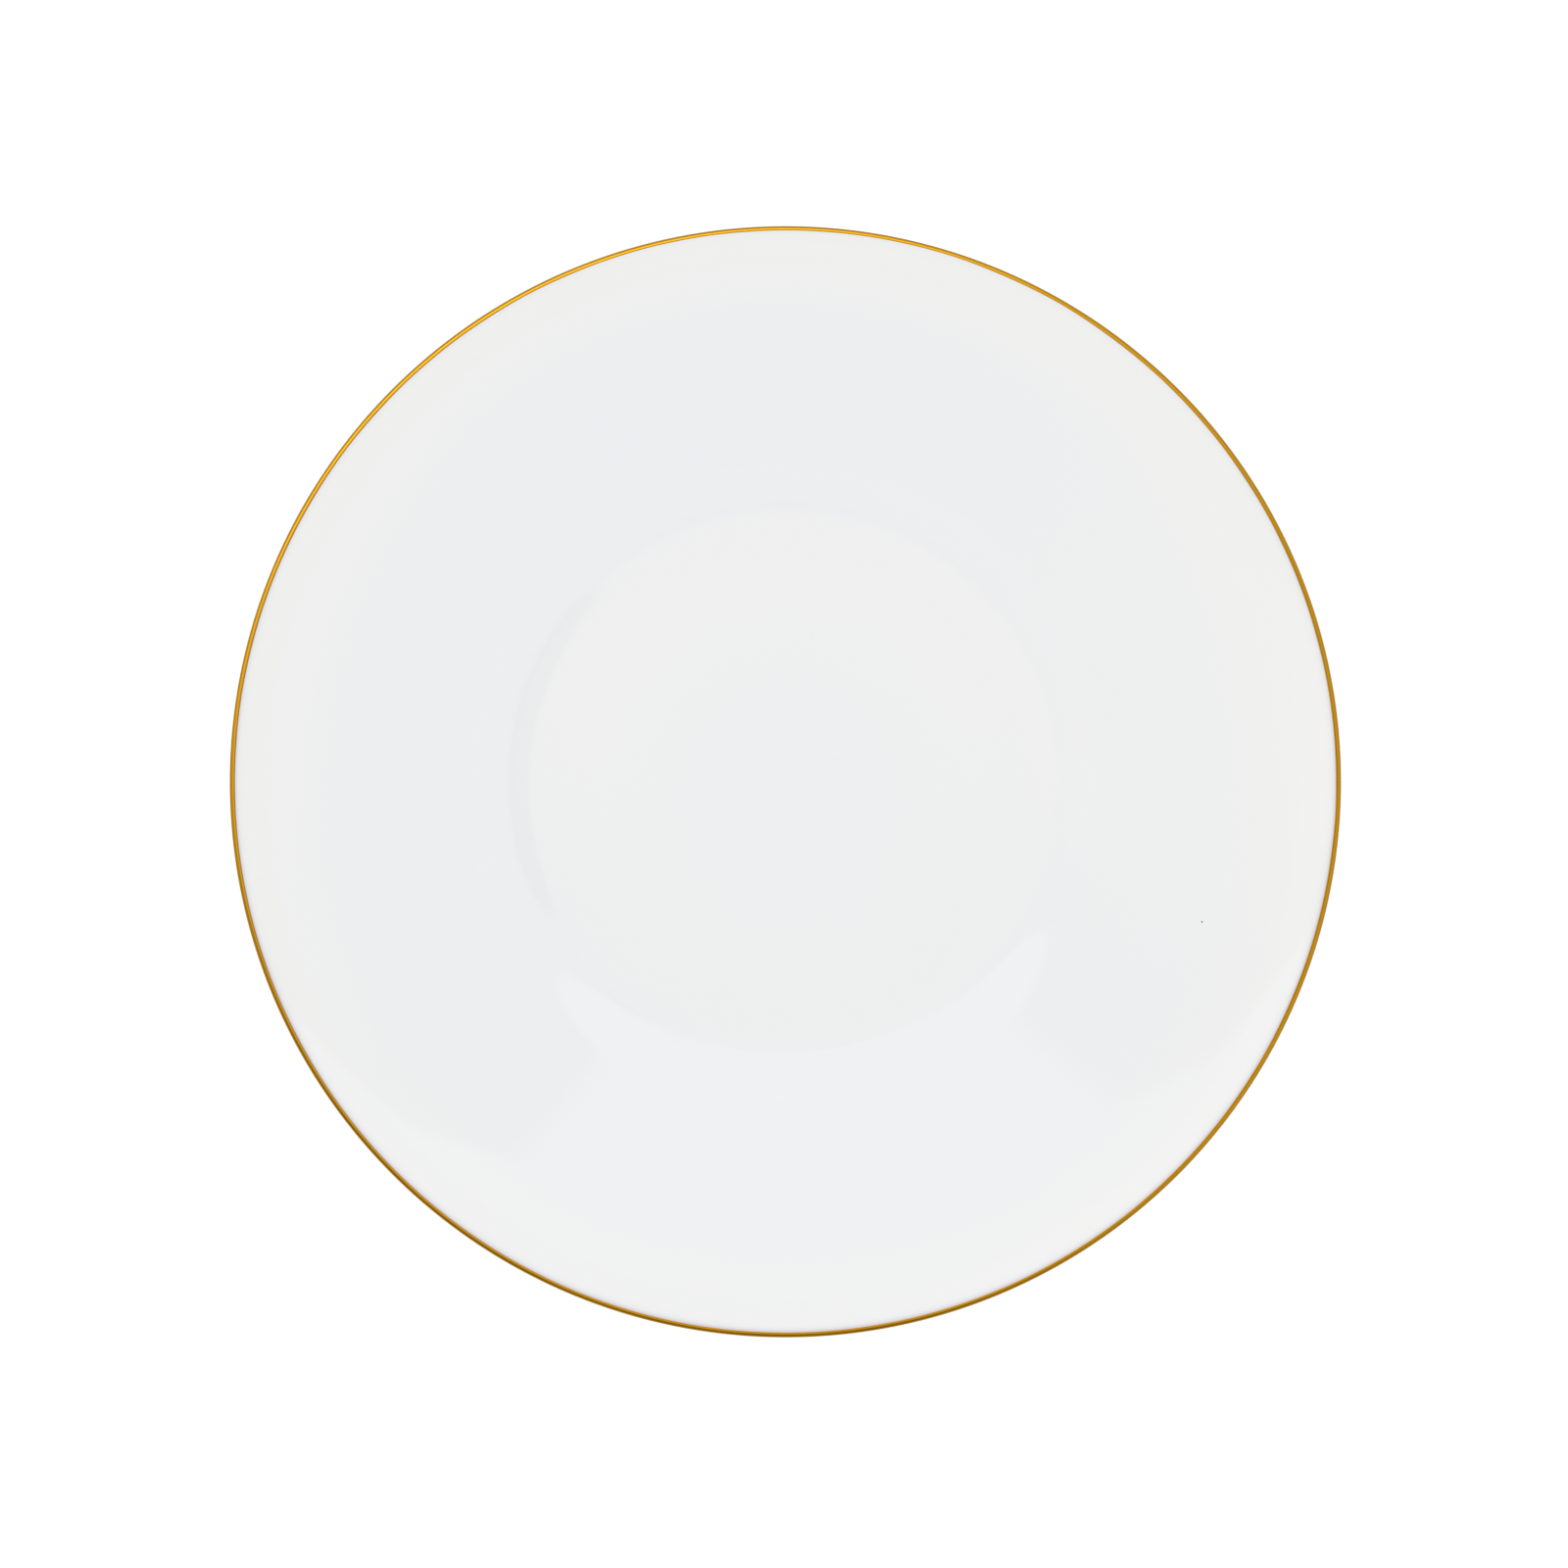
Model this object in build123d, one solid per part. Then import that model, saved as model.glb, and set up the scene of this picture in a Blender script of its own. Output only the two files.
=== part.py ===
from build123d import *

import os
from math import cos, radians, sin

# A china dinner plate with a wide rim: a porcelain body, glazed all over except on the bearing
# face of its foot ring, with a gold line painted round the lip. Everything is turned about +Z.
# Millimetres, +Z up. The origin is the centre of the foot ring's bearing face, on the table.

# ---- Driving dimensions ----

PLATE_DIAMETER = 270.0  # over the gold line
GLAZE = 0.25  # thickness of the fired glaze
GOLD = 0.05  # thickness of the gold line
MARK = 0.03  # thickness of the backstamp's printed colour

RECESS_HEIGHT = 3.0  # from the bearing face up to the glazed underside within the foot ring
FLOOR_THICKNESS = 4.2  # glazed wall under the well

# Slopes of the glazed face, as (radius, slope in degrees), from the well outward. The surface
# turns evenly between two stations, so each stretch is one arc, tangent to its neighbours.
WELL_RADIUS = 58.5
FACE_STATIONS = [
    (70.5, 13.9),  # the wall round the well has risen
    (74.0, 14.5),  # its steepest place
    (80.5, 11.4),  # where the wide rim begins
    (113.0, 12.2),  # the wide rim, all but straight
    (124.0, 14.5),  # where the edge starts to turn up
]
# The same for the underside, from the edge inward to the foot ring's root.
FOOT_ROOT_RADIUS = 71.4
UNDERSIDE_STATIONS = [
    (124.0, 16.5),
    (112.0, 14.4),
    (82.0, 13.2),
    (FOOT_ROOT_RADIUS, 14.0),
]

LIP_ROUND = 1.1  # radius of the rounded lip
LIP_FACE_SLOPE = 23.0  # of the face, where the lip's round begins
LIP_UNDER_SLOPE = 25.0  # of the underside, where the lip's round ends
GOLD_WIDTH = 1.4  # of the gold line, seen from above

FOOT_OUTER_RADIUS = 70.2  # at the bearing face, before its edges are rounded
FOOT_WIDTH = 4.4  # of the bearing face, before its edges are rounded
FOOT_DRAFT = 1.2  # how much wider the foot ring is at its root, on each side
FOOT_EDGE_ROUND = 0.9
FOOT_ROOT_ROUND = 2.0
BARE_HEIGHT = 0.6  # the foot ring is wiped clean of glaze up to here

MARK_RING_RADIUS = 9.0
MARK_LINE = 0.7  # width of the backstamp's ring
MARK_LOZENGE = 6.0  # side of the lozenge in the ring

# ---- Sizes that follow ----

RIM_RADIUS = PLATE_DIAMETER / 2 - GOLD  # the glazed plate, under the gold line
WELL_HEIGHT = RECESS_HEIGHT + FLOOR_THICKNESS
FOOT_INNER_RADIUS = FOOT_OUTER_RADIUS - FOOT_WIDTH
FOOT_MIDDLE_RADIUS = FOOT_OUTER_RADIUS - FOOT_WIDTH / 2
GOLD_INNER_RADIUS = PLATE_DIAMETER / 2 - GOLD_WIDTH
AXIS_OVERLAP = 10.0  # sections run this far past the axis, so that their offsets are whole there
REACH = 2 * PLATE_DIAMETER  # larger than any section


def arc_point(start, bend, slope):
    """Where an arc of radius bend that leaves start, a (radius, height, slope), reaches slope."""
    radius, height, first_slope = start
    return (
        radius + bend * (sin(radians(slope)) - sin(radians(first_slope))),
        height - bend * (cos(radians(slope)) - cos(radians(first_slope))),
    )


def surface_line(start, stations):
    """Tangent arcs from start through (radius, slope) stations. Returns the arcs and their end."""
    arcs = []
    for radius, slope in stations:
        bend = (radius - start[0]) / (sin(radians(slope)) - sin(radians(start[2])))
        middle = arc_point(start, bend, (start[2] + slope) / 2)
        end = (*arc_point(start, bend, slope), slope)
        arcs.append(ThreePointArc(start[:2], middle, end[:2]))
        start = end
    return arcs, start


def glazed_section():
    """The finished plate's section, as (radius, height), with its glaze and without its gold."""
    lip_centre_radius = RIM_RADIUS - LIP_ROUND
    lip_start_radius = lip_centre_radius - LIP_ROUND * sin(radians(LIP_FACE_SLOPE))
    well_edge = (WELL_RADIUS, WELL_HEIGHT, 0.0)
    face, face_end = surface_line(
        well_edge, FACE_STATIONS + [(lip_start_radius, LIP_FACE_SLOPE)]
    )
    lip_height = face_end[1] - LIP_ROUND * cos(radians(LIP_FACE_SLOPE))
    lip_end = (
        lip_centre_radius + LIP_ROUND * sin(radians(LIP_UNDER_SLOPE)),
        lip_height - LIP_ROUND * cos(radians(LIP_UNDER_SLOPE)),
        LIP_UNDER_SLOPE,
    )
    lip = ThreePointArc(face_end[:2], (RIM_RADIUS, lip_height), lip_end[:2])
    underside, foot_root = surface_line(lip_end, UNDERSIDE_STATIONS)

    foot_root = foot_root[:2]
    outer_edge = (FOOT_OUTER_RADIUS, 0.0)
    inner_edge = (FOOT_INNER_RADIUS, 0.0)
    recess_corner = (FOOT_INNER_RADIUS - FOOT_DRAFT, RECESS_HEIGHT)
    foot_and_floor = Polyline(
        foot_root,
        outer_edge,
        inner_edge,
        recess_corner,
        (-AXIS_OVERLAP, RECESS_HEIGHT),
        (-AXIS_OVERLAP, WELL_HEIGHT),
        well_edge[:2],
    )
    section = make_face(Curve() + [*face, lip, *underside, foot_and_floor])
    section = rounded(section, [foot_root, recess_corner], FOOT_ROOT_ROUND)
    return rounded(section, [outer_edge, inner_edge], FOOT_EDGE_ROUND)


def rounded(section, corners, radius):
    """The section with the corners at these points rounded."""
    vertices = [section.vertices().sort_by_distance((*corner, 0))[0] for corner in corners]
    return fillet(vertices, radius)


def box_between(low, high):
    """A rectangle from its lowest to its highest (radius, height)."""
    (left, bottom), (right, top) = low, high
    return Pos((left + right) / 2, (bottom + top) / 2) * Rectangle(right - left, top - bottom)


def turned(section):
    """The solid that a (radius, height) section makes about +Z, leaving out what is past the axis."""
    outside_axis = box_between((0, -REACH), (REACH, REACH))
    return revolve(Plane.XZ * (section & outside_axis), axis=Axis.Z)


def body_section(glazed):
    """The clay under the glaze, which comes to the surface on the wiped part of the foot ring."""
    wiped = box_between((0, 0), (REACH, BARE_HEIGHT))
    return offset(glazed, amount=-GLAZE) + (glazed & wiped)


def gold_section(glazed):
    """A skin over the rounded lip."""
    lip_zone = box_between((GOLD_INNER_RADIUS, 0), (REACH, REACH))
    return (offset(glazed, amount=GOLD) - glazed) & lip_zone


def backstamp():
    """A plain printed ring round a lozenge, on the glaze in the middle of the foot ring."""
    ring = Circle(MARK_RING_RADIUS) - Circle(MARK_RING_RADIUS - MARK_LINE)
    lozenge = Rot(0, 0, 45) * Rectangle(MARK_LOZENGE, MARK_LOZENGE)
    return extrude(Pos(0, 0, RECESS_HEIGHT) * (ring + lozenge), amount=-MARK)


def parts():
    """Every separate piece of the plate, by node name."""
    glazed = glazed_section()
    body = body_section(glazed)
    glaze = glazed - body
    within_foot = box_between(
        (-AXIS_OVERLAP, 0), (FOOT_MIDDLE_RADIUS, RECESS_HEIGHT + FLOOR_THICKNESS / 2)
    )
    return {
        "porcelain_body": turned(body),
        "glaze_coat": turned(glaze - within_foot),
        "foot_recess_glaze": turned(glaze & within_foot),
        "gold_rim_line": turned(gold_section(glazed)),
        "backstamp": backstamp(),
    }


os.makedirs("parts", exist_ok=True)
for node, shape in parts().items():
    export_step(shape, f"parts/{node}.step")
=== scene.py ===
from math import atan2, cos, degrees, pi, radians, sin, tan

import bpy
import numpy as np
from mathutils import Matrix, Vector, noise


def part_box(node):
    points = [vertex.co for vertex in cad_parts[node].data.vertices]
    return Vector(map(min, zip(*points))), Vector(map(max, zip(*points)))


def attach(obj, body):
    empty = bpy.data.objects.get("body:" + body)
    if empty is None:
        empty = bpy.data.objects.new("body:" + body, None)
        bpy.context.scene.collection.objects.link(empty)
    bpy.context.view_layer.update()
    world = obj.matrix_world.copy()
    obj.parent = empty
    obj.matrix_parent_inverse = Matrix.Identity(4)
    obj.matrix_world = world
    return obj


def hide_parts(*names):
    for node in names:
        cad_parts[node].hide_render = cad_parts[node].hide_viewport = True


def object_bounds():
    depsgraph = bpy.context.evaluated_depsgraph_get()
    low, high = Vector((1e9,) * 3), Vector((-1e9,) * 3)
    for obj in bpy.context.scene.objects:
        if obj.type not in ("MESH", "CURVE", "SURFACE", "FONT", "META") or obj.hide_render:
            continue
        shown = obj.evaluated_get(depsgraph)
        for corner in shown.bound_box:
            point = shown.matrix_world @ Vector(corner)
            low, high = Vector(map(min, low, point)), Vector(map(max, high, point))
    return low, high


# The looks of a china dinner plate: a glossy white glaze over porcelain, a hand-banded gold line
# round the lip, a bare foot ring and a printed mark underneath. The glaze and the gold are turned
# afresh from the plate's section, finely enough for their reflections to be smooth.
# Sections are in millimetres, as (radius, height); objects are in metres, in the frame's axes.

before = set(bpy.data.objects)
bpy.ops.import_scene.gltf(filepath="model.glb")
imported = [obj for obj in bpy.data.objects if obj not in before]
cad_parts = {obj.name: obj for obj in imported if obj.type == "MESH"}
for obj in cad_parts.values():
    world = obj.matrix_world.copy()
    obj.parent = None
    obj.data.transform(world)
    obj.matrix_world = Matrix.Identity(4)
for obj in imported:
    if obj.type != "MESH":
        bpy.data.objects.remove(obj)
cad_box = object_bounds()

MM = 0.001

# ---- The plate's section ----

glaze_low, glaze_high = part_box("glaze_coat")
_, body_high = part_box("porcelain_body")
_, gold_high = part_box("gold_rim_line")
_, mark_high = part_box("backstamp")

RIM_RADIUS = glaze_high.x / MM
RIM_HEIGHT = glaze_high.z / MM
GLAZE = (glaze_high.x - body_high.x) / MM
GOLD = (gold_high.x - glaze_high.x) / MM
BARE_HEIGHT = glaze_low.z / MM
RECESS_HEIGHT = mark_high.z / MM

WELL_RADIUS = 58.5  # of the flat floor
WELL_WALL_RADIUS = 67.0  # half way up the wall round it
# (radius, slope in degrees) on the face, from the well's edge outward
FACE_STATIONS = [(70.5, 13.9), (74.0, 14.5), (80.5, 11.4), (113.0, 12.2), (124.0, 14.5)]
# and on the underside, from the lip inward
UNDERSIDE_STATIONS = [(124.0, 16.5), (112.0, 14.4), (82.0, 13.2)]
LIP_ROUND = 1.1
LIP_FACE_SLOPE = 23.0
LIP_UNDER_SLOPE = 25.0
LIP_CENTRE_RADIUS = RIM_RADIUS - LIP_ROUND

FOOT_ROOT_RADIUS = 71.4
FOOT_ROOT_SLOPE = 14.0  # of the underside there
FOOT_OUTER_RADIUS = 70.2
FOOT_WIDTH = 4.4
FOOT_DRAFT = 1.2
FOOT_ROOT_ROUND = 2.0

GOLD_WIDTH = 1.4  # seen from above
GOLD_INNER_RADIUS = gold_high.x / MM - GOLD_WIDTH
GOLD_LIFT = 0.22  # the band is this much narrower at +Y, where the brush came off
GOLD_FEATHER = 0.15  # the gold thins to nothing over this width at its edges
GOLD_WAVE = 0.08  # how far the banding brush strayed from a true circle, on the face
GOLD_UNDER_WAVE = 0.24  # and on the underside
GOLD_WAVES = 9.0  # how closely its strays follow each other, on the face
GOLD_UNDER_WAVES = 6.0
GOLD_SINK = 0.01  # the gold's edges dip this far under the glaze's surface
GOLD_BACK = 0.03  # and its hidden back lies this far under it
GOLD_POINTS = 26  # across the gold

GLAZE_WAVE = 0.006  # height of the slow swells in the glaze
GLAZE_WAVE_LENGTH = 14.0


class Outline:
    """A section drawn as (radius, height, heading) samples, with headings in degrees.

    Heading 0 goes outward and 90 goes up. The outside of the surface is on the path's left.
    """

    def __init__(self, radius, height, heading):
        self.samples = [(radius, height, heading)]

    def arc(self, bend, heading, step):
        """Follows an arc of radius bend until it reaches the heading."""
        radius, height, first = self.samples[-1]
        length = abs(bend * radians(heading - first))
        count = max(2, round(length / step))
        for i in range(1, count + 1):
            now = first + (heading - first) * i / count
            new_radius = radius + bend * (sin(radians(now)) - sin(radians(first)))
            new_height = height - bend * (cos(radians(now)) - cos(radians(first)))
            self.samples.append((new_radius, new_height, now))

    def arc_to(self, radius, heading, step):
        """Follows the arc that has this heading at this radius."""
        start_radius, _, first = self.samples[-1]
        bend = (radius - start_radius) / (sin(radians(heading)) - sin(radians(first)))
        self.arc(bend, heading, step)

    def straight(self, length, step):
        radius, height, heading = self.samples[-1]
        count = max(1, round(length / step))
        for i in range(1, count + 1):
            run = length * i / count
            new_radius = radius + run * cos(radians(heading))
            new_height = height + run * sin(radians(heading))
            self.samples.append((new_radius, new_height, heading))

    def offset(self, distance, every=1):
        """Points this far to the left of the path, at one sample in every so many."""
        kept = self.samples[::every]
        if kept[-1] != self.samples[-1]:
            kept.append(self.samples[-1])
        points = []
        for radius, height, heading in kept:
            new_radius = radius - distance * sin(radians(heading))
            new_height = height + distance * cos(radians(heading))
            points.append((max(0.0, new_radius), new_height))
        return points


def face_outline(floor_height):
    """The glazed face from the centre of the well to where the lip's round begins."""
    line = Outline(0.0, floor_height, 0.0)
    line.straight(WELL_RADIUS, step=3.5)
    for radius, slope in FACE_STATIONS:
        line.arc_to(radius, slope, step=1.4)
    lip_start = LIP_CENTRE_RADIUS - LIP_ROUND * sin(radians(LIP_FACE_SLOPE))
    line.arc_to(lip_start, LIP_FACE_SLOPE, step=1.2)
    return line


def glaze_outline():
    """The glazed outline from the centre of the well, over the lip, to the bare foot."""
    _, face_rise, _ = face_outline(0.0).samples[-1]
    lip_rise = face_rise + LIP_ROUND * (1 - cos(radians(LIP_FACE_SLOPE)))
    line = face_outline(RIM_HEIGHT - lip_rise)
    line.arc(-LIP_ROUND, LIP_UNDER_SLOPE - 180, step=0.22)
    for radius, slope in UNDERSIDE_STATIONS:
        line.arc_to(radius, slope - 180, step=3.0)

    radius, height, heading = line.samples[-1]
    middle_slope = (heading + 180 + FOOT_ROOT_SLOPE) / 2
    root_height = height - (radius - FOOT_ROOT_RADIUS) * tan(radians(middle_slope))
    wall_heading = degrees(atan2(-root_height, FOOT_OUTER_RADIUS - FOOT_ROOT_RADIUS))
    root_heading = FOOT_ROOT_SLOPE - 180
    root_tangent = FOOT_ROOT_ROUND * tan(radians(wall_heading - root_heading) / 2)
    root_start = FOOT_ROOT_RADIUS - root_tangent * cos(radians(root_heading))
    line.arc_to(root_start, root_heading, step=3.0)
    line.arc(FOOT_ROOT_ROUND, wall_heading, step=0.35)
    fall = line.samples[-1][1] - BARE_HEIGHT
    line.straight(fall / sin(radians(-wall_heading)), step=0.7)
    return line


def recess_outline():
    """The glazed outline inside the foot ring, from its bare edge up to the axis."""
    wall_heading = degrees(atan2(RECESS_HEIGHT, -FOOT_DRAFT))
    tangent = FOOT_ROOT_ROUND * tan(radians(180 - wall_heading) / 2)
    wall_start = FOOT_OUTER_RADIUS - FOOT_WIDTH + BARE_HEIGHT / tan(radians(wall_heading))
    line = Outline(wall_start, BARE_HEIGHT, wall_heading)
    line.straight((RECESS_HEIGHT - BARE_HEIGHT) / sin(radians(wall_heading)) - tangent, step=0.5)
    line.arc(FOOT_ROOT_ROUND, 180.0, step=0.35)
    line.straight(line.samples[-1][0], step=4.0)
    return line


def turned(name, section_at, segments):
    """A closed mesh turned about +Z. section_at(azimuth) gives the loop of (radius, height)."""
    azimuths = [2 * pi * j / segments for j in range(segments)]
    sections = np.array([section_at(azimuth) for azimuth in azimuths])
    count = sections.shape[1]
    vertices = []
    rings = []
    for i in range(count):
        if sections[:, i, 0].max() < 1e-6:
            rings.append([len(vertices)] * segments)
            vertices.append((0.0, 0.0, sections[0, i, 1] * MM))
            continue
        rings.append(range(len(vertices), len(vertices) + segments))
        for azimuth, (radius, height) in zip(azimuths, sections[:, i]):
            x = radius * cos(azimuth)
            y = radius * sin(azimuth)
            vertices.append((x * MM, y * MM, (height + glaze_swell(x, y)) * MM))
    faces = []
    for i in range(count):
        near = rings[i]
        far = rings[(i + 1) % count]
        for j in range(segments):
            k = (j + 1) % segments
            corners = dict.fromkeys((near[j], far[j], far[k], near[k]))
            if len(corners) > 2:
                faces.append(tuple(corners))
    mesh = bpy.data.meshes.new(name)
    mesh.from_pydata(vertices, [], faces)
    mesh.shade_smooth()
    mesh.set_sharp_from_angle(angle=radians(40))
    piece = bpy.data.objects.new(name, mesh)
    bpy.context.scene.collection.objects.link(piece)
    return piece


def glaze_swell(x, y):
    """The slow unevenness of the fired surface, which makes the edges of its reflections waver."""
    place = Vector((x, y, 0.0)) / GLAZE_WAVE_LENGTH
    return GLAZE_WAVE * (noise.noise(place) + 0.4 * noise.noise(place * 2.3))


def skin_section(line, thickness, every):
    """A closed loop: the outline, and back along its inner side."""
    inner = line.offset(-thickness, every=every)
    return line.offset(0.0) + inner[::-1]


def gold_section_at(line):
    """The gold's closed section at any azimuth, lying on the lip between its two edges."""
    radii, heights, headings = (np.array(column) for column in zip(*line.samples))
    steps = np.hypot(np.diff(radii), np.diff(heights))
    runs = np.concatenate([[0.0], np.cumsum(steps)])
    widest = int(np.argmax(radii))
    face_edge = np.interp(GOLD_INNER_RADIUS, radii[: widest + 1], runs[: widest + 1])
    under_edge = np.interp(-GOLD_INNER_RADIUS, -radii[widest:], runs[widest:])

    def section(azimuth):
        compass = Vector((cos(azimuth), sin(azimuth), 0.0))
        lift = GOLD_LIFT * max(0.0, compass.y) ** 4
        start = face_edge + lift + GOLD_WAVE * noise.noise(compass * GOLD_WAVES)
        under_place = compass * GOLD_UNDER_WAVES + Vector((0, 0, 5))
        end = under_edge + GOLD_UNDER_WAVE * noise.noise(under_place)
        run = np.linspace(start, end, GOLD_POINTS)
        feather = np.clip(np.minimum(run - start, end - run) / GOLD_FEATHER, 0, 1)
        radius = np.interp(run, runs, radii)
        height = np.interp(run, runs, heights)
        heading = np.radians(np.interp(run, runs, headings))
        front = (GOLD + GOLD_SINK) * feather**0.5 - GOLD_SINK
        sides = []
        for rise in (front, -GOLD_BACK):
            side = [radius - rise * np.sin(heading), height + rise * np.cos(heading)]
            sides.append(np.stack(side, axis=1))
        return np.concatenate([sides[0], sides[1][::-1]])

    return section


# ---- Node trees ----


class Graph:
    """Short calls for making and joining the nodes of one tree."""

    def __init__(self, tree):
        self.tree = tree
        tree.nodes.clear()

    def node(self, kind, inputs=None, **settings):
        made = self.tree.nodes.new(kind)
        for name, value in settings.items():
            setattr(made, name, value)
        for key, value in (inputs or {}).items():
            self.feed(made.inputs[key], value)
        return made

    def feed(self, socket, value):
        if isinstance(value, bpy.types.NodeSocket):
            self.tree.links.new(value, socket)
        else:
            socket.default_value = value

    def math(self, operation, *values):
        inputs = dict(enumerate(values))
        return self.node("ShaderNodeMath", inputs, operation=operation).outputs[0]

    def times(self, first, *others):
        """The product of two or more values."""
        for other in others:
            first = self.math("MULTIPLY", first, other)
        return first

    def vector(self, operation, *values):
        inputs = dict(enumerate(values))
        made = self.node("ShaderNodeVectorMath", inputs, operation=operation)
        is_number = operation in ("LENGTH", "DISTANCE", "DOT_PRODUCT")
        return made.outputs["Value" if is_number else "Vector"]

    def scaled(self, vector, scale):
        inputs = {0: vector, "Scale": scale}
        return self.node("ShaderNodeVectorMath", inputs, operation="SCALE").outputs["Vector"]

    def smooth(self, value, low, high):
        """0 at low, 1 at high, and a smooth rise between them. Low may be the larger."""
        inputs = {"Value": value, "From Min": low, "From Max": high}
        made = self.node("ShaderNodeMapRange", inputs, interpolation_type="SMOOTHSTEP")
        return made.outputs["Result"]

    def spread(self, value, low, high):
        """A value from 0 to 1, spread from low to high."""
        inputs = {"Value": value, "To Min": low, "To Max": high}
        return self.node("ShaderNodeMapRange", inputs).outputs["Result"]

    def noise(self, vector, scale, detail=2.0):
        inputs = {"Vector": vector, "Scale": scale, "Detail": detail}
        return self.node("ShaderNodeTexNoise", inputs).outputs["Fac"]

    def mix(self, factor, first, second):
        inputs = {0: factor, 6: first, 7: second}
        return self.node("ShaderNodeMix", inputs, data_type="RGBA").outputs[2]

    def bump(self, height, distance_mm):
        inputs = {"Height": height, "Strength": 1.0, "Distance": distance_mm * MM}
        return self.node("ShaderNodeBump", inputs).outputs["Normal"]

    def parts(self, vector):
        """The x, y and z of a vector."""
        return self.node("ShaderNodeSeparateXYZ", {0: vector}).outputs

    def combined(self, x, y):
        """A vector with this x and y, and no z."""
        return self.node("ShaderNodeCombineXYZ", {0: x, 1: y}).outputs[0]

    def shader(self, kind, **inputs):
        """A shader. Its inputs' names have _ for a space."""
        named = {name.replace("_", " "): value for name, value in inputs.items()}
        return self.node(kind, named).outputs[0]

    def mix_shaders(self, factor, first, second):
        inputs = {0: factor, 1: first, 2: second}
        return self.node("ShaderNodeMixShader", inputs).outputs[0]


class MaterialGraph(Graph):
    """The nodes of a new material, and where a point of it is: place, flat, radius and height.

    They are in millimetres. Flat is the place without its height, and radius is flat's length.
    """

    def __init__(self, name):
        self.material = bpy.data.materials.new(name)
        self.material.use_nodes = True
        super().__init__(self.material.node_tree)
        coordinates = self.node("ShaderNodeTexCoord").outputs
        self.place = self.scaled(coordinates["Object"], 1 / MM)
        x, self.y, self.height = self.parts(self.place)
        self.flat = self.combined(x, self.y)
        self.radius = self.vector("LENGTH", self.flat)
        self.normal_z = self.parts(coordinates["Normal"])[2]

    def toward_rim(self, low, high):
        """0 at low and 1 at high, which are shares of the glazed rim's radius."""
        return self.smooth(self.radius, RIM_RADIUS * low, RIM_RADIUS * high)

    def finish(self, **inputs):
        """Ends the material in a shader that has these inputs, and returns the material."""
        surface = self.shader("ShaderNodeBsdfPrincipled", **inputs)
        self.node("ShaderNodeOutputMaterial", {"Surface": surface})
        return self.material


GLAZE_WHITE = (0.846, 0.852, 0.858, 1.0)
GLAZE_SHADE = (0.842, 0.848, 0.856, 1.0)
RIM_CREAM = (0.847, 0.852, 0.843, 1.0)
RIM_WARMTH = (0.861, 0.862, 0.850, 1.0)
# painted light: the well's glaze made lighter and warmer near its wall
WELL_PAINTED_LIGHT = (0.857, 0.860, 0.857, 1.0)
# painted shade: the glaze beside the gold greyed toward lavender
GOLD_EDGE_PAINTED_SHADE = (0.57, 0.56, 0.61, 1.0)
PAINTED_SHADE_REACH = 0.45  # the painted shade falls to 1/e over this distance from the gold
IRON_SPECK = (0.05, 0.04, 0.03, 1.0)
IRON_SPECK_SIZE = 0.28
IRON_SPECK_RADIUS = 107.2
IRON_SPECK_AZIMUTH = -18.6
GLAZE_EDGE = (0.62, 0.55, 0.46, 1.0)  # where the glaze was wiped off the foot


def glaze_material():
    graph = MaterialGraph("white_glaze")
    mottle = graph.noise(graph.place, 1 / 35, detail=3.0)
    color = graph.mix(mottle, GLAZE_SHADE, GLAZE_WHITE)
    color = graph.mix(rim_cream(graph), color, RIM_CREAM)
    color = graph.mix(rim_warmth(graph), color, RIM_WARMTH)

    on_face = graph.smooth(graph.normal_z, 0.0, 0.5)
    # painted light in the well near its wall, on the face only
    color = graph.mix(graph.times(on_face, painted_light_near_well_wall(graph)), color, WELL_PAINTED_LIGHT)
    # painted shade on the glaze beside the gold
    color = graph.mix(painted_shade_beside_gold(graph), color, GOLD_EDGE_PAINTED_SHADE)

    speck_x = IRON_SPECK_RADIUS * cos(radians(IRON_SPECK_AZIMUTH))
    speck_y = IRON_SPECK_RADIUS * sin(radians(IRON_SPECK_AZIMUTH))
    distance = graph.vector("DISTANCE", graph.flat, (speck_x, speck_y, 0.0))
    speck = graph.smooth(distance, IRON_SPECK_SIZE, 0.4 * IRON_SPECK_SIZE)
    color = graph.mix(graph.times(on_face, speck), color, IRON_SPECK)

    bare_edge = graph.smooth(graph.height, BARE_HEIGHT + 0.45, BARE_HEIGHT + 0.05)
    color = graph.mix(graph.times(bare_edge, 0.7), color, GLAZE_EDGE)

    roughness = graph.spread(graph.noise(graph.place, 1 / 9, detail=4.0), 0.035, 0.075)
    peel = graph.bump(graph.noise(graph.place, 1 / 2.4), 0.0015)
    return graph.finish(Base_Color=color, Roughness=roughness, Normal=peel, IOR=1.5)


def rim_cream(graph):
    """A creamy band inside the rim's edge."""
    return graph.times(graph.toward_rim(0.79, 0.90), graph.toward_rim(0.97, 0.93))


def rim_warmth(graph):
    """Warmth at the rim's edge, which starts further in toward -X and +X, though not toward -Y."""
    compass_y = graph.math("DIVIDE", graph.y, graph.radius)
    aside = graph.math("SUBTRACT", 1.0, graph.math("ABSOLUTE", compass_y))
    sides = graph.times(graph.smooth(aside, 0.1, 0.6), graph.smooth(compass_y, -0.3, 0.1))
    sides = graph.times(sides, graph.toward_rim(0.76, 0.88), 0.45)
    return graph.math("MAXIMUM", graph.toward_rim(0.90, 0.97), sides)


def painted_light_near_well_wall(graph):
    """Painted light: the well is a touch lighter and warmer toward its wall, most on its +Y side.
    """
    in_well = graph.smooth(graph.radius, WELL_WALL_RADIUS + 1.0, WELL_WALL_RADIUS - 1.5)
    by_wall = graph.times(in_well, graph.smooth(graph.radius, 15.0, 50.0))
    side = graph.spread(graph.smooth(graph.y, -35.0, 25.0), 0.3, 1.0)
    return graph.times(by_wall, side)


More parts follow.
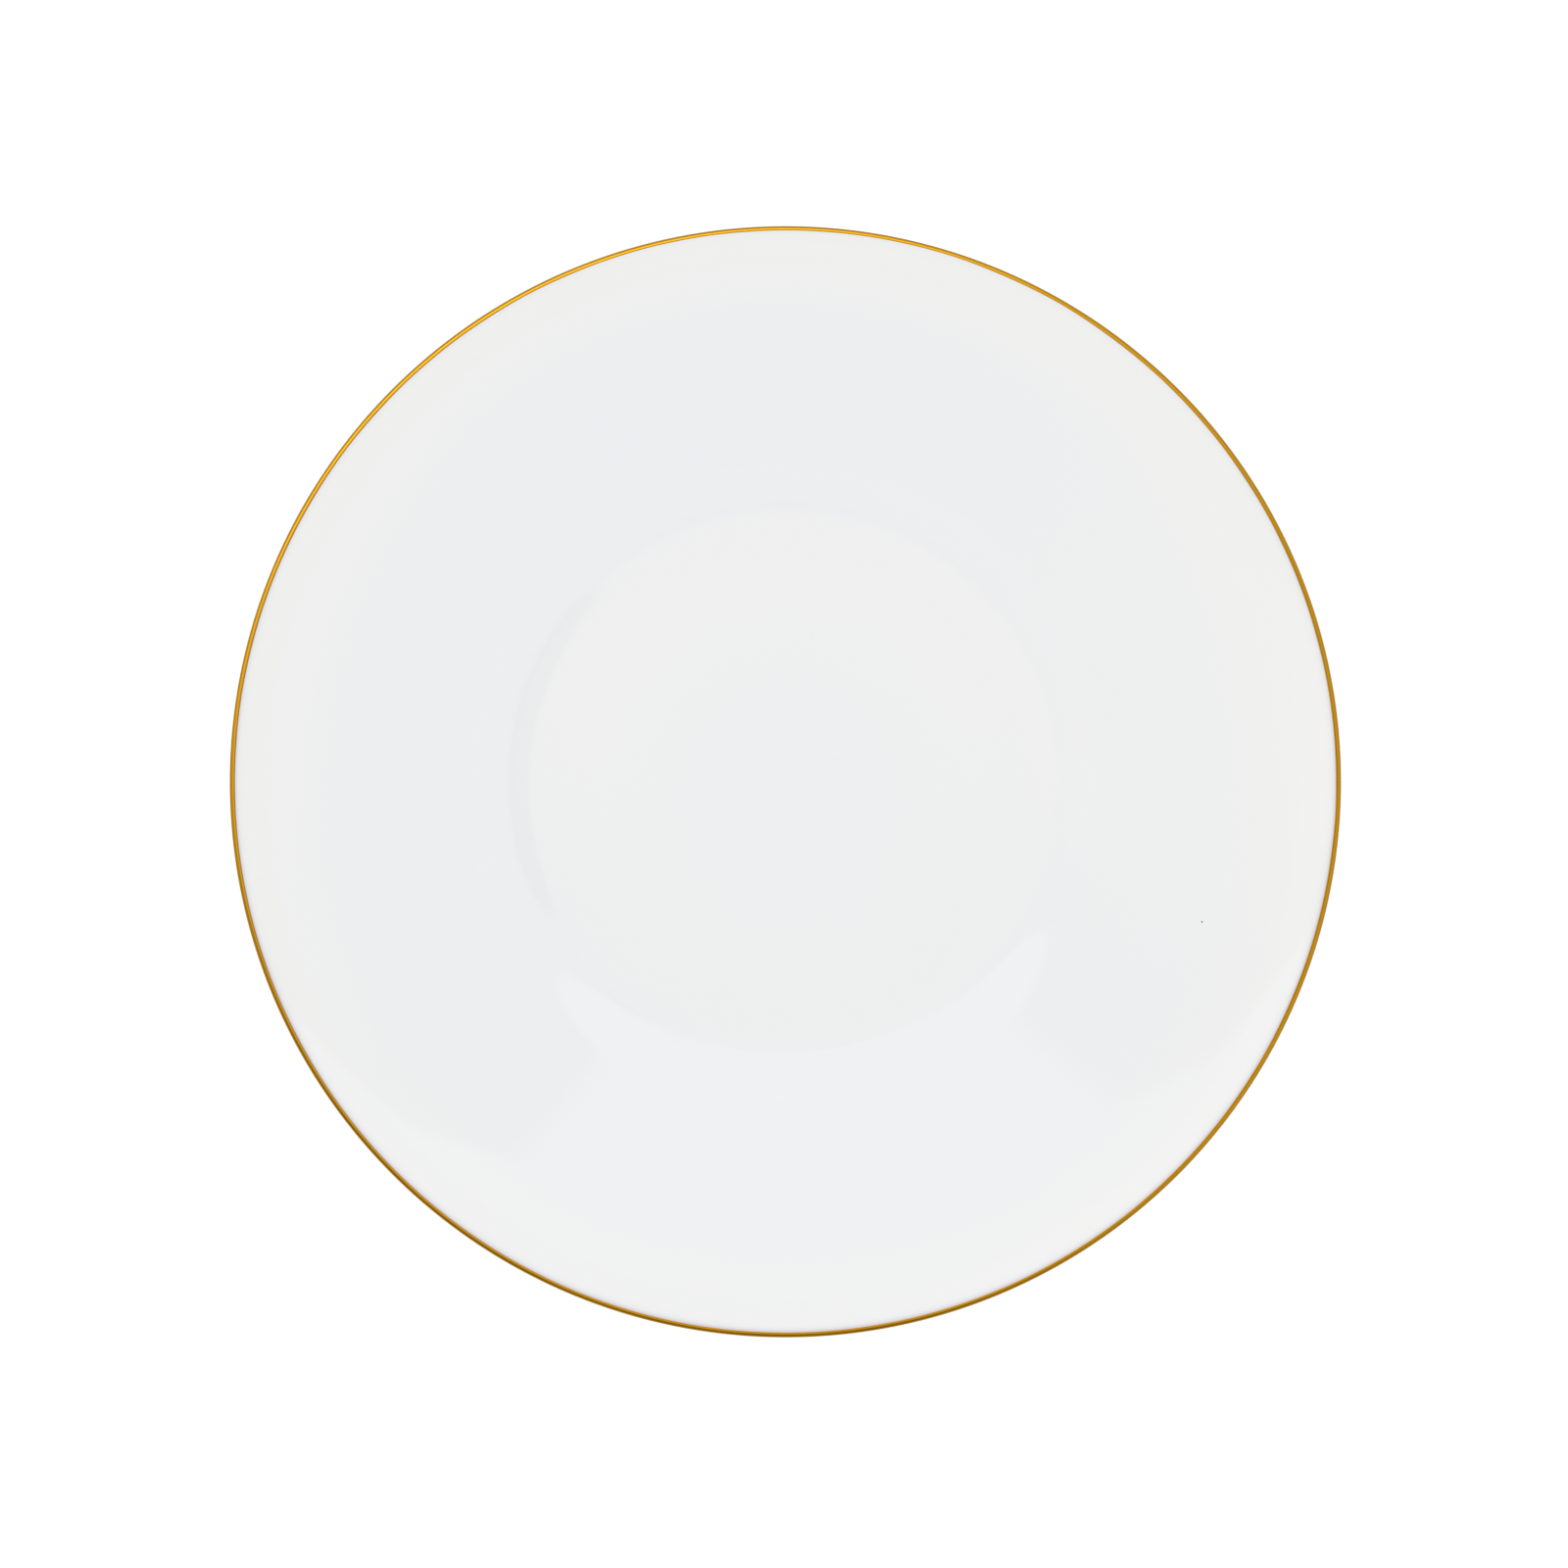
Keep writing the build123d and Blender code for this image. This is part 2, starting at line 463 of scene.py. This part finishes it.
def painted_shade_beside_gold(graph):
    """Painted shade on the glaze beside the gold, least on the +Y side."""
    inward = graph.math("SUBTRACT", GOLD_INNER_RADIUS, graph.radius)
    from_gold = graph.math("MAXIMUM", inward, 0.0)
    shade_falloff = graph.math("EXPONENT", graph.math("DIVIDE", from_gold, -PAINTED_SHADE_REACH))
    compass_y = graph.math("DIVIDE", graph.y, graph.radius)
    strength = graph.spread(graph.smooth(compass_y, 1.15, -0.5), 0.12, 1.0)
    return graph.times(shade_falloff, strength)


PALE_GOLD = (0.72, 0.38, 0.016, 1.0)
DEEP_GOLD = (0.60, 0.27, 0.005, 1.0)
THIN_GOLD = (0.40, 0.30, 0.21, 1.0)
THIN_GOLD_WIDTH = 0.32  # from the gold's inner edge


def gold_material():
    graph = MaterialGraph("banded_gold")
    compass = graph.vector("NORMALIZE", graph.flat)
    across = graph.math("ADD", graph.radius, graph.times(graph.height, -0.7))
    drawn = graph.node("ShaderNodeCombineXYZ", {2: graph.times(across, 7.0)}).outputs[0]
    strokes = graph.noise(graph.vector("ADD", graph.scaled(compass, 5.0), drawn), 1.0, detail=4.0)
    color = graph.mix(strokes, DEEP_GOLD, PALE_GOLD)
    thin = graph.smooth(graph.radius, GOLD_INNER_RADIUS + THIN_GOLD_WIDTH, GOLD_INNER_RADIUS)
    color = graph.mix(graph.times(thin, 0.7), color, THIN_GOLD)
    wear = graph.smooth(graph.noise(graph.place, 1 / 1.3, detail=5.0), 0.6, 0.75)
    roughness = graph.math("ADD", graph.spread(strokes, 0.14, 0.24), graph.times(wear, 0.1))
    ridges = graph.bump(strokes, 0.004)
    return graph.finish(Base_Color=color, Roughness=roughness, Metallic=1.0, Normal=ridges)


CLAY_DARK = (0.80, 0.77, 0.71, 1.0)
CLAY_PALE = (0.86, 0.835, 0.79, 1.0)
CLAY_RUBBED = (0.50, 0.485, 0.465, 1.0)


def bare_porcelain_material():
    graph = MaterialGraph("bare_porcelain")
    color = graph.mix(graph.noise(graph.place, 1 / 4, detail=6.0), CLAY_DARK, CLAY_PALE)

    # tables have rubbed the middle of the foot ring's bearing face grey in places
    bearing = graph.smooth(graph.height, 0.12, 0.0)
    foot_middle = FOOT_OUTER_RADIUS - FOOT_WIDTH / 2
    from_middle = graph.math("ABSOLUTE", graph.math("SUBTRACT", graph.radius, foot_middle))
    rubbed = graph.smooth(from_middle, 1.7, 0.7)
    smudge = graph.smooth(graph.noise(graph.place, 1 / 2.2, detail=5.0), 0.45, 0.7)
    wear = graph.times(bearing, rubbed, smudge)
    color = graph.mix(graph.times(wear, 0.5), color, CLAY_RUBBED)
    roughness = graph.spread(wear, 0.78, 0.55)
    grain = graph.bump(graph.noise(graph.place, 1 / 0.35, detail=3.0), 0.02)
    return graph.finish(Base_Color=color, Roughness=roughness, Normal=grain)


MARK_DARK = (0.10, 0.15, 0.26, 1.0)
MARK_PALE = (0.20, 0.27, 0.40, 1.0)


def mark_material():
    graph = MaterialGraph("printed_mark")
    density = graph.noise(graph.place, 1 / 0.8, detail=4.0)
    color = graph.mix(density, MARK_DARK, MARK_PALE)
    broken = graph.smooth(graph.noise(graph.place, 1 / 0.25), 0.62, 0.72)
    color = graph.mix(graph.times(broken, 0.5), color, GLAZE_WHITE)
    return graph.finish(Base_Color=color, Roughness=graph.spread(density, 0.12, 0.3))


# ---- The pieces ----


def add_pieces():
    outline = glaze_outline()
    face_loop = skin_section(outline, GLAZE, every=3)
    recess_loop = skin_section(recess_outline(), GLAZE, every=2)
    white = glaze_material()

    face = turned("glaze_over_face_and_rim", lambda azimuth: face_loop, segments=600)
    stand_in(face, "glaze_coat", white)
    recess = turned("glaze_within_foot_ring", lambda azimuth: recess_loop, segments=300)
    stand_in(recess, "foot_recess_glaze", white)
    gold = turned("gold_line_on_lip", gold_section_at(outline), segments=900)
    stand_in(gold, "gold_rim_line", gold_material())

    cad_materials = {"porcelain_body": bare_porcelain_material(), "backstamp": mark_material()}
    for node, material in cad_materials.items():
        for material_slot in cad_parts[node].material_slots:
            material_slot.material = material


def stand_in(piece, node, material):
    """Puts a finer piece in the place of a CAD node."""
    piece.data.materials.append(material)
    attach(piece, "root")
    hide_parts(node)


# ---- The studio ----

FLOOR_SIZE = 12.0  # metres
PALE_GREY = 0.74  # of the floor from the side, and of the backdrop
FLOOR_SHADE = 0.55  # the lit grey that the plate's shadow falls on, as the camera sees it
FLOOR_GLOW = 0.6  # added to that from above, so that it comes out white
FLOOR_BOUNCE = 0.8  # of the light that falls on the floor
FLOOR_MIRRORED = 0.65  # the floor's brightness in polished surfaces
SOFT_LIGHT = 1.026  # strength of the even light that falls on everything


def grey(value):
    return (value, value, value, 1.0)


def add_floor():
    """A plain table top: clear white seen from above, pale grey from the side."""
    mesh = bpy.data.meshes.new("floor")
    half = FLOOR_SIZE / 2
    corners = [(-half, -half, 0), (half, -half, 0), (half, half, 0), (-half, half, 0)]
    mesh.from_pydata(corners, [], [(0, 1, 2, 3)])
    floor = bpy.data.objects.new("floor", mesh)
    bpy.context.scene.collection.objects.link(floor)

    material = bpy.data.materials.new("floor")
    material.use_nodes = True
    graph = Graph(material.node_tree)
    rays = graph.node("ShaderNodeLightPath").outputs
    view = graph.node("ShaderNodeNewGeometry").outputs["Incoming"]
    from_above = graph.smooth(graph.parts(view)[2], 0.5, 0.95)
    glow = graph.spread(from_above, PALE_GREY - FLOOR_SHADE, FLOOR_GLOW)
    shaded = graph.shader("ShaderNodeBsdfDiffuse", Color=grey(FLOOR_SHADE))
    glowing = graph.shader("ShaderNodeEmission", Strength=glow)
    seen = graph.node("ShaderNodeAddShader", {0: shaded, 1: glowing}).outputs[0]
    bounce = graph.shader("ShaderNodeBsdfDiffuse", Color=grey(FLOOR_BOUNCE))
    mirrored = graph.shader("ShaderNodeEmission", Strength=FLOOR_MIRRORED)
    surface = graph.mix_shaders(rays["Is Camera Ray"], bounce, seen)
    surface = graph.mix_shaders(rays["Is Glossy Ray"], surface, mirrored)
    graph.node("ShaderNodeOutputMaterial", {"Surface": surface})
    floor.data.materials.append(material)


# The room that polished surfaces mirror. Its directions are told by their tilt, the tangent of
# the angle from overhead. The plate's face mirrors tilts of up to 0.9, and only the gold mirrors
# what is lower.

OVERHEAD_WARM = (0.90, 0.86, 0.75, 1)  # on the -X side
OVERHEAD_COOL = (0.63, 0.67, 0.81, 1)  # on the +X side
OVERHEAD_DULL = (0.28, 0.37, 1.34, 1)
CORNICE_TILTS = (0.40, 0.54)
CORNICE_WARM = (1.05, 0.98, 1.0, 1)
CORNICE_COOL = (0.84, 0.87, 1.02, 1)
UPPER_WALLS_WARM = (0.95, 0.90, 0.80, 1)
UPPER_WALLS_COOL = (0.83, 0.77, 0.72, 1)
WINDOW = (1.32, 1.18, 1.02, 1)

SOFTBOX_AZIMUTH = 95.0
SOFTBOX_EDGE = 0.28  # the tilt of its near edge, toward its azimuth
SOFTBOX_FACE = (1.18, 1.19, 1.46, 1)
SOFTBOX_NEAR_EDGE = (1.34, 1.35, 1.62, 1)
SOFTBOX_BAR = (1.42, 1.40, 1.62, 1)
SOFTBOX_BAR_TILTS = (0.395, 0.525)
SOFTBOX_CORNER = (1.55, 1.50, 1.72, 1)
BESIDE_SOFTBOX = (0.1, 0.15, 0.7, 1)

PANEL_AZIMUTH = -8.0
PANEL_TILT = 0.27  # of its middle
PANEL_HALF_LENGTH = 0.14
PANEL_HALF_WIDTH = 0.18
PANEL = (0.0, 0.05, 0.24, 1)

LOWER_WALLS = grey(0.78)
LAMP_AZIMUTH = 118
LAMP = (2.3, 2.35, 2.4, 1)
DARK_AZIMUTH = 250
DARK_WALLS = (0.27, 0.27, 0.28, 1)


def mirrored_room(graph, direction):
    x, y, z = graph.parts(direction)
    up = graph.math("MAXIMUM", z, 0.02)
    tilt_x = graph.math("DIVIDE", x, up)
    tilt_y = graph.math("DIVIDE", y, up)
    flat = graph.combined(tilt_x, tilt_y)
    tilt = graph.vector("LENGTH", flat)

    def between(low, high):
        """1 where the tilt is between low and high, with soft edges."""
        rise = graph.smooth(tilt, low - 0.03, low + 0.03)
        return graph.times(rise, graph.smooth(tilt, high + 0.03, high - 0.03))

    # overhead, where it is a little duller toward -Y, with a cornice and walls round that
    side = graph.smooth(tilt_x, -0.5, 0.5)
    room = graph.mix(side, OVERHEAD_WARM, OVERHEAD_COOL)
    dull = graph.times(graph.smooth(tilt_y, -0.20, -0.34), 0.25)
    room = graph.mix(dull, room, OVERHEAD_DULL)
    cornice = graph.mix(side, CORNICE_WARM, CORNICE_COOL)
    room = graph.mix(between(*CORNICE_TILTS), room, cornice)
    upper_walls = graph.mix(side, UPPER_WALLS_WARM, UPPER_WALLS_COOL)
    room = graph.mix(graph.smooth(tilt, 0.50, 0.58), room, upper_walls)

    # a window on its -X side
    window = graph.times(graph.smooth(tilt_x, -0.42, -0.54), graph.smooth(tilt_y, -0.33, -0.03))
    room = graph.mix(window, room, WINDOW)

    # a softbox on its +Y side, brightest at its near edge, along a bar and in its -X corner. The
    # room beside it looks dim.
    across = graph.vector("DOT_PRODUCT", flat, pointing(SOFTBOX_AZIMUTH))
    dim = graph.times(graph.smooth(across, 0.10, 0.22), graph.smooth(tilt, 0.27, 0.33), 0.2)
    room = graph.mix(dim, room, BESIDE_SOFTBOX)
    glow = graph.mix(graph.smooth(tilt, 0.352, 0.340), SOFTBOX_FACE, SOFTBOX_NEAR_EDGE)
    glow = graph.mix(between(*SOFTBOX_BAR_TILTS), glow, SOFTBOX_BAR)
    corner = graph.times(graph.smooth(tilt, 0.52, 0.60), graph.smooth(tilt_x, 0.1, -0.5))
    glow = graph.mix(corner, glow, SOFTBOX_CORNER)
    softbox = graph.smooth(across, SOFTBOX_EDGE - 0.008, SOFTBOX_EDGE + 0.008)
    room = graph.mix(softbox, room, glow)

    room = graph.mix(dark_panel(graph, flat, tilt), room, PANEL)
    return graph.mix(graph.smooth(tilt, 0.78, 0.92), room, lower_walls(graph, flat, tilt))


def pointing(azimuth):
    """The level direction toward an azimuth."""
    return (cos(radians(azimuth)), sin(radians(azimuth)), 0.0)


def dark_panel(graph, flat, tilt):
    """1 on an oval panel over the plate's +X side, which ends where the tilt passes 0.35."""
    along = (pointing(PANEL_AZIMUTH), PANEL_TILT, PANEL_HALF_LENGTH)
    beside = (pointing(PANEL_AZIMUTH + 90), 0.0, PANEL_HALF_WIDTH)
    shares = []
    for axis, middle, half in (along, beside):
        offset = graph.math("SUBTRACT", graph.vector("DOT_PRODUCT", flat, axis), middle)
        shares.append(graph.math("DIVIDE", offset, half))
    from_middle = graph.vector("LENGTH", graph.combined(*shares))
    return graph.times(graph.smooth(from_middle, 1.06, 0.94), graph.smooth(tilt, 0.355, 0.346))


def lower_walls(graph, flat, tilt):
    """Grey walls with a lamp at one azimuth, and dark round another."""

    def facing(azimuth, low, high):
        """0 to 1 as the cosine of the angle from this azimuth rises from low to high."""
        cosine = graph.vector("DOT_PRODUCT", graph.vector("NORMALIZE", flat), pointing(azimuth))
        return graph.smooth(cosine, low, high)

    lamp = graph.times(facing(LAMP_AZIMUTH, 0.4, 1.0), graph.smooth(tilt, 2.1, 1.7))
    walls = graph.mix(lamp, LOWER_WALLS, LAMP)
    return graph.mix(facing(DARK_AZIMUTH, 0.2, 0.9), walls, DARK_WALLS)


def add_light():
    """Even soft light from all round, a room for polished surfaces to mirror, and a backdrop."""
    world = bpy.data.worlds.new("studio")
    bpy.context.scene.world = world
    world.use_nodes = True
    world.cycles.sampling_method = "NONE"
    graph = Graph(world.node_tree)
    direction = graph.node("ShaderNodeTexCoord").outputs["Generated"]
    rays = graph.node("ShaderNodeLightPath").outputs
    room = mirrored_room(graph, direction)
    soft = graph.shader("ShaderNodeBackground", Color=grey(1.0), Strength=SOFT_LIGHT)
    shine = graph.shader("ShaderNodeBackground", Color=room)
    backdrop = graph.shader("ShaderNodeBackground", Color=grey(PALE_GREY))
    light = graph.mix_shaders(rays["Is Glossy Ray"], soft, shine)
    light = graph.mix_shaders(rays["Is Camera Ray"], light, backdrop)
    graph.node("ShaderNodeOutputWorld", {"Surface": light})


CAMERA_DISTANCE = 1.5  # metres above the plate's widest circle
PLATE_SHARE = 0.7088  # of the picture's width that the plate takes up
RIGHT_SHARE = 0.0009  # of the picture's width that the plate is right of the picture's centre
ABOVE_SHARE = 0.0014  # and above it


def add_camera():
    low, high = cad_box
    data = bpy.data.cameras.new("camera")
    data.sensor_width = 36.0
    plate_width = high.x - low.x
    picture_width = plate_width / PLATE_SHARE
    data.lens = data.sensor_width * CAMERA_DISTANCE / picture_width
    camera = bpy.data.objects.new("camera", data)
    camera.location = (
        (low.x + high.x) / 2 - RIGHT_SHARE * picture_width,
        (low.y + high.y) / 2 - ABOVE_SHARE * picture_width,
        high.z - LIP_ROUND * MM + CAMERA_DISTANCE,
    )
    bpy.context.scene.collection.objects.link(camera)
    bpy.context.scene.camera = camera


add_pieces()
add_floor()
add_light()
add_camera()
bpy.context.scene.view_settings.view_transform = "Standard"
